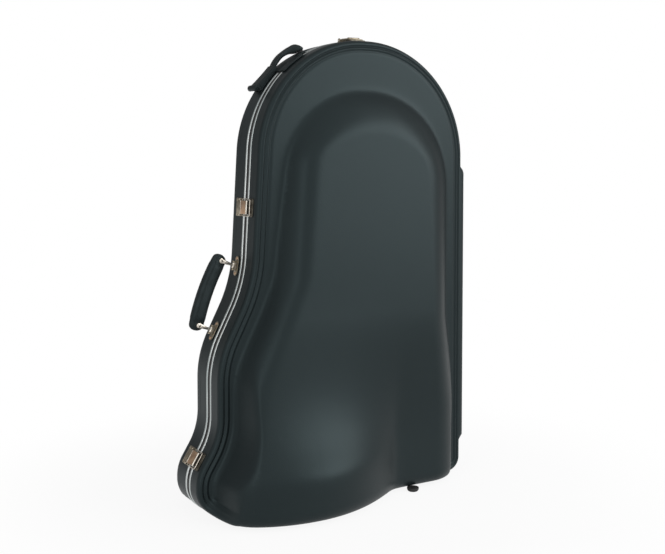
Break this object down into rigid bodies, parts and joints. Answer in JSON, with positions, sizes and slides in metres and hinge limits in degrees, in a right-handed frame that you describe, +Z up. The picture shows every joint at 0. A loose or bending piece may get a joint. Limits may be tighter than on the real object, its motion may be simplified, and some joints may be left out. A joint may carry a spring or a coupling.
{
  "type": "tuba case",
  "caption": "Upright hard case for a tuba, two moulded shells with a bell bulge, hinged side, draw latches, carry handle and end handle.",
  "frame": {"origin": "centre of the bounding box on the floor, with the case standing on its bell end", "axes": "+Z up along the case, -Y towards the lid (front), +X towards the hinge side"},
  "size_m": [0.7429, 0.4346, 1.1021],
  "materials": {
    "black_plastic": "satin moulded ABS with a fine grain",
    "aluminium": "bright drawn aluminium",
    "nickel": "nickel plated steel, bright",
    "rubber": "black rubber, matt",
    "vinyl": "soft black vinyl",
    "plush_foam": "foam with black plush face"
  },
  "bodies": {
    "base": {"accessory_box": "plush_foam", "back_lining": "plush_foam", "back_rim_profile": "aluminium", "back_shell": "black_plastic", "end_handle_base": "vinyl", "foot_back_left": "rubber", "foot_back_right": "rubber", "handle_plate_lower": "nickel", "handle_plate_upper": "nickel", "hinge_back_leaf_1": "nickel", "hinge_back_leaf_2": "nickel", "hinge_back_leaf_3": "nickel", "hinge_pin_1": "nickel", "hinge_pin_2": "nickel", "hinge_pin_3": "nickel", "latch_base_lower": "nickel", "latch_base_top": "nickel", "latch_base_upper": "nickel", "latch_pin_lower": "nickel", "latch_pin_top": "nickel", "latch_pin_upper": "nickel", "lower_saddle": "plush_foam", "rim_gasket": "rubber", "upper_saddle": "plush_foam"},
    "lid": {"front_shell": "black_plastic", "front_rim_profile": "aluminium", "front_lining": "plush_foam", "lid_pad": "plush_foam", "foot_front_left": "rubber", "foot_front_right": "rubber", "hinge_front_leaf_1": "nickel", "hinge_front_leaf_2": "nickel", "hinge_front_leaf_3": "nickel", "latch_catch_top": "nickel", "latch_catch_upper": "nickel", "latch_catch_lower": "nickel"},
    "lever_top": {"latch_lever_top": "nickel"},
    "loop_top": {"latch_loop_top": "nickel"},
    "lever_upper": {"latch_lever_upper": "nickel"},
    "loop_upper": {"latch_loop_upper": "nickel"},
    "lever_lower": {"latch_lever_lower": "nickel"},
    "loop_lower": {"latch_loop_lower": "nickel"},
    "carry_handle": {"handle_grip": "vinyl", "handle_link_upper": "nickel", "handle_link_lower": "nickel", "handle_rivet_upper": "nickel", "handle_rivet_lower": "nickel"},
    "end_handle": {"end_handle_grip": "vinyl"}
  },
  "joints": [
    {"name": "lid_hinge", "type": "hinge", "parent": "base", "child": "lid", "pos_m": [0.3648, 0, 0.4425], "axis": [0, 0, 1], "range_deg": [0, 110]},
    {"name": "latch_top_lever", "type": "hinge", "parent": "base", "child": "lever_top", "pos_m": [0.05739, 0.0178, 1.09656], "axis": [-0.9998, 0, -0.0174], "range_deg": [0, 150]},
    {"name": "latch_top_loop", "type": "hinge", "parent": "lever_top", "child": "loop_top", "pos_m": [0.05741, 0.0065, 1.09536], "axis": [-0.9998, 0, -0.0174], "range_deg": [0, 35]},
    {"name": "latch_upper_lever", "type": "hinge", "parent": "base", "child": "lever_upper", "pos_m": [-0.22836, 0.0178, 0.69795], "axis": [-0.0574, 0, -0.9983], "range_deg": [0, 150]},
    {"name": "latch_upper_loop", "type": "hinge", "parent": "lever_upper", "child": "loop_upper", "pos_m": [-0.22717, 0.0065, 0.69788], "axis": [-0.0574, 0, -0.9983], "range_deg": [0, 35]},
    {"name": "latch_lower_lever", "type": "hinge", "parent": "base", "child": "lever_lower", "pos_m": [-0.35774, 0.0178, 0.13476], "axis": [-0.5278, 0, -0.8494], "range_deg": [0, 150]},
    {"name": "latch_lower_loop", "type": "hinge", "parent": "lever_lower", "child": "loop_lower", "pos_m": [-0.35672, 0.0065, 0.13412], "axis": [-0.5278, 0, -0.8494], "range_deg": [0, 35]},
    {"name": "carry_handle_swing", "type": "hinge", "parent": "base", "child": "carry_handle", "pos_m": [-0.27049, 0.026, 0.48991], "axis": [-0.3676, 0, -0.93], "range_deg": [-45, 75]},
    {"name": "end_handle_lift", "type": "hinge", "parent": "base", "child": "end_handle", "pos_m": [-0.12668, 0.036, 1.02781], "axis": [0, -1, 0], "range_deg": [0, 45]}
  ]
}
